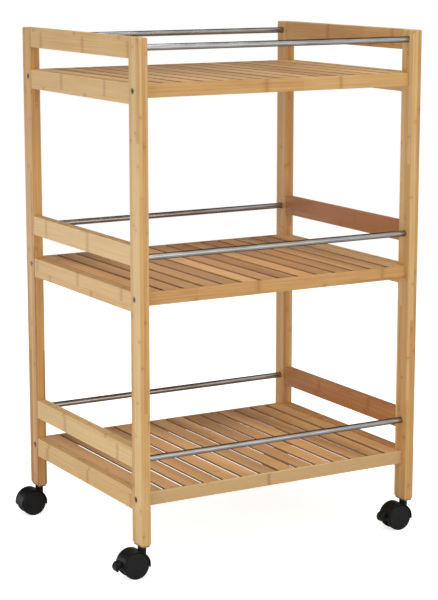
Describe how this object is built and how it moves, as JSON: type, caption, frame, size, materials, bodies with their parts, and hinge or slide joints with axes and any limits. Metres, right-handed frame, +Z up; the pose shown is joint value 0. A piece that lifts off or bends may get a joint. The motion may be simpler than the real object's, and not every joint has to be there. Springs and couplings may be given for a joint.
{
  "type": "rolling utility cart",
  "caption": "Bamboo rolling cart with slatted shelves between ladder-like end frames, steel gallery rods, and swivel casters with brake levers at the front.",
  "frame": {"origin": "on the floor, under the middle of the whole cart's box", "axes": "+Z up, +X along the long side to the right, -Y towards the front, where the braked casters are"},
  "size_m": [0.54, 0.402, 0.811],
  "materials": {
    "bamboo_frame": "laminated bamboo, satin clear lacquer",
    "bamboo_shelf": "solid bamboo slats, satin clear lacquer",
    "steel_rod": "polished stainless steel tube",
    "zinc_hardware": "zinc-plated steel",
    "caster_plastic": "black moulded nylon, fine grain",
    "wheel_plastic": "black moulded nylon wheel with a smooth tread"
  },
  "bodies": {
    "frame": {"post_front_left": "bamboo_frame", "post_front_right": "bamboo_frame", "post_back_left": "bamboo_frame", "post_back_right": "bamboo_frame", "side_rail_left_bottom": "bamboo_frame", "guard_rail_left_bottom": "bamboo_frame", "side_rail_left_middle": "bamboo_frame", "guard_rail_left_middle": "bamboo_frame", "side_rail_left_top": "bamboo_frame", "guard_rail_left_top": "bamboo_frame", "side_rail_right_bottom": "bamboo_frame", "guard_rail_right_bottom": "bamboo_frame", "side_rail_right_middle": "bamboo_frame", "guard_rail_right_middle": "bamboo_frame", "side_rail_right_top": "bamboo_frame", "guard_rail_right_top": "bamboo_frame", "shelf_bottom": "bamboo_shelf", "shelf_middle": "bamboo_shelf", "shelf_top": "bamboo_shelf", "rod_front_bottom": "steel_rod", "rod_front_middle": "steel_rod", "rod_front_top": "steel_rod", "rod_back_bottom": "steel_rod", "rod_back_middle": "steel_rod", "rod_back_top": "steel_rod", "screw_front_left_bottom": "zinc_hardware", "screw_front_left_middle": "zinc_hardware", "screw_front_left_top": "zinc_hardware", "screw_front_right_bottom": "zinc_hardware", "screw_front_right_middle": "zinc_hardware", "screw_front_right_top": "zinc_hardware", "screw_back_left_bottom": "zinc_hardware", "screw_back_left_middle": "zinc_hardware", "screw_back_left_top": "zinc_hardware", "screw_back_right_bottom": "zinc_hardware", "screw_back_right_middle": "zinc_hardware", "screw_back_right_top": "zinc_hardware", "caster_stem_front_left": "zinc_hardware", "caster_stem_front_right": "zinc_hardware", "caster_stem_back_left": "zinc_hardware", "caster_stem_back_right": "zinc_hardware"},
    "caster_front_left": {"caster_housing_front_left": "caster_plastic", "caster_axle_front_left": "zinc_hardware"},
    "caster_front_right": {"caster_housing_front_right": "caster_plastic", "caster_axle_front_right": "zinc_hardware"},
    "caster_back_left": {"caster_housing_back_left": "caster_plastic", "caster_axle_back_left": "zinc_hardware"},
    "caster_back_right": {"caster_housing_back_right": "caster_plastic", "caster_axle_back_right": "zinc_hardware"},
    "wheel_front_left_outer": {"caster_wheel_front_left_outer": "wheel_plastic"},
    "wheel_front_left_inner": {"caster_wheel_front_left_inner": "wheel_plastic"},
    "wheel_front_right_outer": {"caster_wheel_front_right_outer": "wheel_plastic"},
    "wheel_front_right_inner": {"caster_wheel_front_right_inner": "wheel_plastic"},
    "wheel_back_left_outer": {"caster_wheel_back_left_outer": "wheel_plastic"},
    "wheel_back_left_inner": {"caster_wheel_back_left_inner": "wheel_plastic"},
    "wheel_back_right_outer": {"caster_wheel_back_right_outer": "wheel_plastic"},
    "wheel_back_right_inner": {"caster_wheel_back_right_inner": "wheel_plastic"},
    "brake_front_left": {"brake_lever_front_left": "caster_plastic"},
    "brake_front_right": {"brake_lever_front_right": "caster_plastic"}
  },
  "joints": [
    {"name": "swivel_front_left", "type": "hinge", "parent": "frame", "child": "caster_front_left", "pos_m": [-0.222, -0.186, 0.04], "axis": [0, 0, 1], "continuous": true},
    {"name": "swivel_front_right", "type": "hinge", "parent": "frame", "child": "caster_front_right", "pos_m": [0.262, -0.186, 0.04], "axis": [0, 0, 1], "continuous": true},
    {"name": "swivel_back_left", "type": "hinge", "parent": "frame", "child": "caster_back_left", "pos_m": [-0.222, 0.186, 0.04], "axis": [0, 0, 1], "continuous": true},
    {"name": "swivel_back_right", "type": "hinge", "parent": "frame", "child": "caster_back_right", "pos_m": [0.262, 0.186, 0.04], "axis": [0, 0, 1], "continuous": true},
    {"name": "roll_front_left_outer", "type": "hinge", "parent": "caster_front_left", "child": "wheel_front_left_outer", "pos_m": [-0.237, -0.1955, 0.021], "axis": [0, 1, 0], "continuous": true},
    {"name": "roll_front_left_inner", "type": "hinge", "parent": "caster_front_left", "child": "wheel_front_left_inner", "pos_m": [-0.237, -0.1765, 0.021], "axis": [0, 1, 0], "continuous": true},
    {"name": "roll_front_right_outer", "type": "hinge", "parent": "caster_front_right", "child": "wheel_front_right_outer", "pos_m": [0.247, -0.1955, 0.021], "axis": [0, 1, 0], "continuous": true},
    {"name": "roll_front_right_inner", "type": "hinge", "parent": "caster_front_right", "child": "wheel_front_right_inner", "pos_m": [0.247, -0.1765, 0.021], "axis": [0, 1, 0], "continuous": true},
    {"name": "roll_back_left_outer", "type": "hinge", "parent": "caster_back_left", "child": "wheel_back_left_outer", "pos_m": [-0.237, 0.1955, 0.021], "axis": [0, 1, 0], "continuous": true},
    {"name": "roll_back_left_inner", "type": "hinge", "parent": "caster_back_left", "child": "wheel_back_left_inner", "pos_m": [-0.237, 0.1765, 0.021], "axis": [0, 1, 0], "continuous": true},
    {"name": "roll_back_right_outer", "type": "hinge", "parent": "caster_back_right", "child": "wheel_back_right_outer", "pos_m": [0.247, 0.1955, 0.021], "axis": [0, 1, 0], "continuous": true},
    {"name": "roll_back_right_inner", "type": "hinge", "parent": "caster_back_right", "child": "wheel_back_right_inner", "pos_m": [0.247, 0.1765, 0.021], "axis": [0, 1, 0], "continuous": true},
    {"name": "brake_front_left", "type": "hinge", "parent": "caster_front_left", "child": "brake_front_left", "pos_m": [-0.252, -0.186, 0.024], "axis": [0, -1, 0], "range_deg": [-12, 0]},
    {"name": "brake_front_right", "type": "hinge", "parent": "caster_front_right", "child": "brake_front_right", "pos_m": [0.232, -0.186, 0.024], "axis": [0, -1, 0], "range_deg": [0, 12]}
  ]
}
